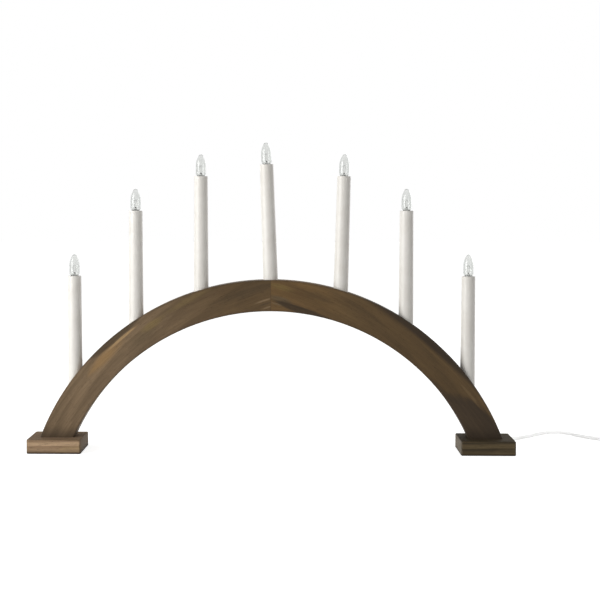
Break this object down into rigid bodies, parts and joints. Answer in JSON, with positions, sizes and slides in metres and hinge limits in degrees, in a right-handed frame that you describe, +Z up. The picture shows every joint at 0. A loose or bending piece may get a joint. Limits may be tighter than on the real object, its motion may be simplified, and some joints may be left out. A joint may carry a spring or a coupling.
{
  "type": "candle arch",
  "caption": "Electric candle arch: stained wooden arch on two square feet, carrying white candle sleeves with clear screw-in flame bulbs, fed by a mains cord with a plug.",
  "frame": {"origin": "On the surface that the arch stands on, midway between the two feet and midway through their depth.", "axes": "+Z up along the candles, +X to the right along the arch as seen from the front, +Y to the back, where the wiring groove and the cord are."},
  "size_m": [0.8579, 0.2225, 0.3944],
  "materials": {
    "arch_wood": "brown-stained softwood, satin lacquer",
    "foot_wood": "brown-stained softwood, satin lacquer",
    "beech": "pressed beech, unfinished",
    "zinc_steel": "zinc-plated steel",
    "nickel": "nickel-plated brass",
    "brass": "bright brass",
    "white_plastic": "semi-gloss white plastic",
    "holder_plastic": "matt white moulded plastic",
    "white_cord": "matt white flexible sheath",
    "wire_insulation": "white insulation",
    "brown_strip": "matt dark brown fibre strip",
    "clear_glass": "thin clear glass",
    "mount": "glass stem with dull nickel leads"
  },
  "bodies": {
    "stand": {"left_arch_half": "arch_wood", "right_arch_half": "arch_wood", "crown_biscuit": "beech", "left_foot": "foot_wood", "right_foot": "foot_wood", "foot_screws": "zinc_steel", "socket_shells": "nickel", "series_wires": "wire_insulation", "return_wire": "wire_insulation", "groove_cover": "brown_strip", "cord_bushing": "white_plastic", "mains_cord": "white_cord", "cord_coil": "white_cord", "coil_tie": "white_plastic", "cord_tail": "white_cord", "plug_body": "white_plastic", "plug_pins": "nickel", "candle_sleeve_1": "white_plastic", "lampholder_1": "holder_plastic", "candle_sleeve_2": "white_plastic", "lampholder_2": "holder_plastic", "candle_sleeve_3": "white_plastic", "lampholder_3": "holder_plastic", "candle_sleeve_4": "white_plastic", "lampholder_4": "holder_plastic", "candle_sleeve_5": "white_plastic", "lampholder_5": "holder_plastic", "candle_sleeve_6": "white_plastic", "lampholder_6": "holder_plastic", "candle_sleeve_7": "white_plastic", "lampholder_7": "holder_plastic"},
    "contact_1": {"centre_contact_1": "brass"},
    "bulb_1": {"bulb_glass_1": "clear_glass", "bulb_cap_1": "nickel", "bulb_mount_1": "mount"},
    "contact_2": {"centre_contact_2": "brass"},
    "bulb_2": {"bulb_glass_2": "clear_glass", "bulb_cap_2": "nickel", "bulb_mount_2": "mount"},
    "contact_3": {"centre_contact_3": "brass"},
    "bulb_3": {"bulb_glass_3": "clear_glass", "bulb_cap_3": "nickel", "bulb_mount_3": "mount"},
    "contact_4": {"centre_contact_4": "brass"},
    "bulb_4": {"bulb_glass_4": "clear_glass", "bulb_cap_4": "nickel", "bulb_mount_4": "mount"},
    "contact_5": {"centre_contact_5": "brass"},
    "bulb_5": {"bulb_glass_5": "clear_glass", "bulb_cap_5": "nickel", "bulb_mount_5": "mount"},
    "contact_6": {"centre_contact_6": "brass"},
    "bulb_6": {"bulb_glass_6": "clear_glass", "bulb_cap_6": "nickel", "bulb_mount_6": "mount"},
    "contact_7": {"centre_contact_7": "brass"},
    "bulb_7": {"bulb_glass_7": "clear_glass", "bulb_cap_7": "nickel", "bulb_mount_7": "mount"}
  },
  "joints": [
    {"name": "contact_follow_1", "type": "slide", "parent": "stand", "child": "contact_1", "axis": [0, 0, 1], "range_m": [0, 0.00181]},
    {"name": "bulb_screw_1", "type": "hinge", "parent": "contact_1", "child": "bulb_1", "pos_m": [-0.2515, 0, 0.21802], "axis": [0, 0, 1], "range_deg": [0, 360]},
    {"name": "contact_follow_2", "type": "slide", "parent": "stand", "child": "contact_2", "axis": [0, 0, 1], "range_m": [0, 0.00181]},
    {"name": "bulb_screw_2", "type": "hinge", "parent": "contact_2", "child": "bulb_2", "pos_m": [-0.17251, 0, 0.3013], "axis": [0, 0, 1], "range_deg": [0, 360]},
    {"name": "contact_follow_3", "type": "slide", "parent": "stand", "child": "contact_3", "axis": [0, 0, 1], "range_m": [0, 0.00181]},
    {"name": "bulb_screw_3", "type": "hinge", "parent": "contact_3", "child": "bulb_3", "pos_m": [-0.08898, 0, 0.345], "axis": [0, 0, 1], "range_deg": [0, 360]},
    {"name": "contact_follow_4", "type": "slide", "parent": "stand", "child": "contact_4", "axis": [-0.0349, 0, 0.9994], "range_m": [0, 0.00181]},
    {"name": "bulb_screw_4", "type": "hinge", "parent": "contact_4", "child": "bulb_4", "pos_m": [-0.00517, 0, 0.35996], "axis": [-0.0349, 0, 0.9994], "range_deg": [0, 360]},
    {"name": "contact_follow_5", "type": "slide", "parent": "stand", "child": "contact_5", "axis": [0.0262, 0, 0.9997], "range_m": [0, 0.00181]},
    {"name": "bulb_screw_5", "type": "hinge", "parent": "contact_5", "child": "bulb_5", "pos_m": [0.09286, 0, 0.34495], "axis": [0.0262, 0, 0.9997], "range_deg": [0, 360]},
    {"name": "contact_follow_6", "type": "slide", "parent": "stand", "child": "contact_6", "axis": [0, 0, 1], "range_m": [0, 0.00181]},
    {"name": "bulb_screw_6", "type": "hinge", "parent": "contact_6", "child": "bulb_6", "pos_m": [0.17251, 0, 0.3013], "axis": [0, 0, 1], "range_deg": [0, 360]},
    {"name": "contact_follow_7", "type": "slide", "parent": "stand", "child": "contact_7", "axis": [0, 0, 1], "range_m": [0, 0.00181]},
    {"name": "bulb_screw_7", "type": "hinge", "parent": "contact_7", "child": "bulb_7", "pos_m": [0.2515, 0, 0.21802], "axis": [0, 0, 1], "range_deg": [0, 360]}
  ],
  "couplings": [
    {"joint": "contact_follow_1", "follows": "bulb_screw_1", "m_per_rad": 0.00028807},
    {"joint": "contact_follow_2", "follows": "bulb_screw_2", "m_per_rad": 0.00028807},
    {"joint": "contact_follow_3", "follows": "bulb_screw_3", "m_per_rad": 0.00028807},
    {"joint": "contact_follow_4", "follows": "bulb_screw_4", "m_per_rad": 0.00028807},
    {"joint": "contact_follow_5", "follows": "bulb_screw_5", "m_per_rad": 0.00028807},
    {"joint": "contact_follow_6", "follows": "bulb_screw_6", "m_per_rad": 0.00028807},
    {"joint": "contact_follow_7", "follows": "bulb_screw_7", "m_per_rad": 0.00028807}
  ]
}
